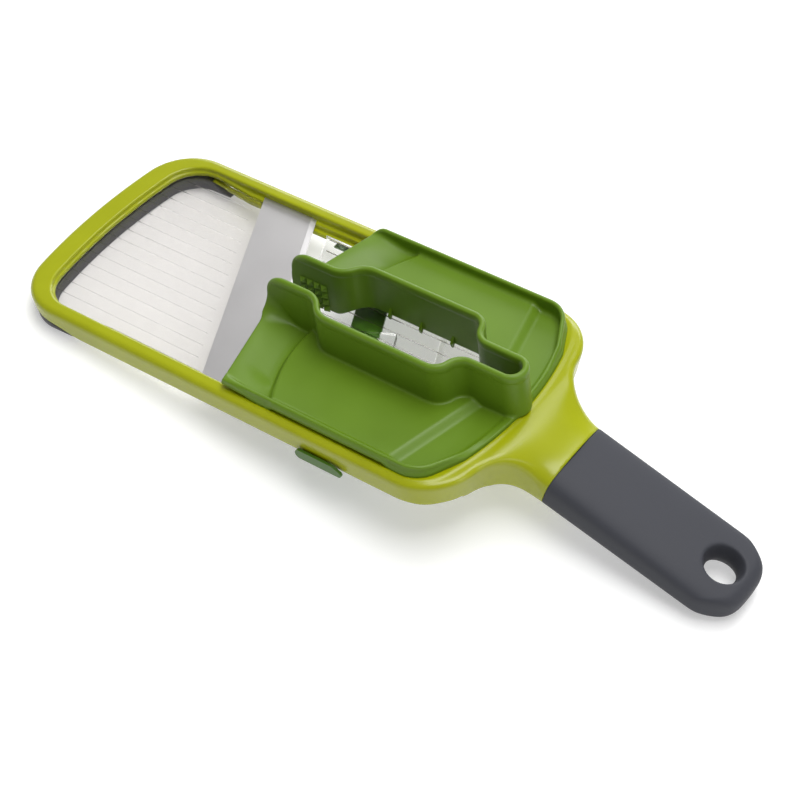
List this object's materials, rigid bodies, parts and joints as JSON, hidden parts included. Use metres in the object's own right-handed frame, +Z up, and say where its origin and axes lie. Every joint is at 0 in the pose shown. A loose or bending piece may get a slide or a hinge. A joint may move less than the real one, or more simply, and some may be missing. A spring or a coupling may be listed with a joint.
{
  "type": "mandoline slicer",
  "caption": "Hand-held mandoline slicer with a skewed blade, an adjustable clear ramp, a sliding sprung food guard and a soft grip handle.",
  "frame": {"origin": "middle of the overall box on the floor the slicer rests on", "axes": "+X from the front foot towards the handle, +Y across the bed, +Z up from the floor"},
  "size_m": [0.3596, 0.1221, 0.0677],
  "materials": {
    "lime_body": "smooth semi-gloss moulded plastic, lime green",
    "soft_grey": "matt soft-touch rubber, dark grey",
    "guard_green": "smooth semi-gloss moulded plastic, olive green",
    "clear": "clear moulded plastic",
    "blade_steel": "satin ground stainless steel",
    "dark_green": "smooth moulded plastic, dark green",
    "small_steel": "plain stainless steel"
  },
  "bodies": {
    "frame": {"body_frame": "lime_body", "front_deck": "clear", "front_foot": "soft_grey", "slicing_blade": "blade_steel", "near_blade_clamp": "lime_body", "far_blade_clamp": "lime_body", "blade_clamp_screws": "small_steel", "handle_grip": "soft_grey", "near_slide_rail": "dark_green", "far_slide_rail": "dark_green", "slide_rail_screws": "small_steel", "ramp_pivot_pin": "small_steel", "pivot_pin_caps": "lime_body"},
    "adjuster": {"adjuster_bar": "dark_green", "adjuster_tab": "dark_green", "detent_spring": "small_steel"},
    "ramp": {"slicing_ramp": "clear"},
    "guard": {"guard_spring_loop": "guard_green"},
    "near_jaw": {"near_guard_wing": "guard_green", "near_grip_teeth": "guard_green"},
    "far_jaw": {"far_guard_wing": "guard_green", "far_grip_teeth": "guard_green"}
  },
  "joints": [
    {"name": "adjuster_slide", "type": "slide", "parent": "frame", "child": "adjuster", "axis": [0.9922, 0, 0.1243], "range_m": [-0.007, 0.012]},
    {"name": "ramp_tilt", "type": "hinge", "parent": "frame", "child": "ramp", "pos_m": [0.01792, 0, 0.02788], "axis": [-0.4303, 0.9011, -0.0539], "range_deg": [-0.97, 1.66]},
    {"name": "guard_slide", "type": "slide", "parent": "frame", "child": "guard", "axis": [0.9922, 0, 0.1243], "range_m": [-0.105, 0]},
    {"name": "near_jaw_flex", "type": "hinge", "parent": "guard", "child": "near_jaw", "pos_m": [0.05951, 0, 0.04195], "axis": [0.1243, 0, -0.9922], "range_deg": [0, 2.5], "stiffness_Nm_per_rad": 0.5},
    {"name": "far_jaw_flex", "type": "hinge", "parent": "guard", "child": "far_jaw", "pos_m": [0.05951, 0, 0.04195], "axis": [-0.1243, 0, 0.9922], "range_deg": [0, 2.5], "stiffness_Nm_per_rad": 0.5}
  ],
  "couplings": [
    {"joint": "ramp_tilt", "follows": "adjuster_slide", "rad_per_m": 2.4},
    {"joint": "far_jaw_flex", "follows": "near_jaw_flex", "ratio": 1}
  ]
}
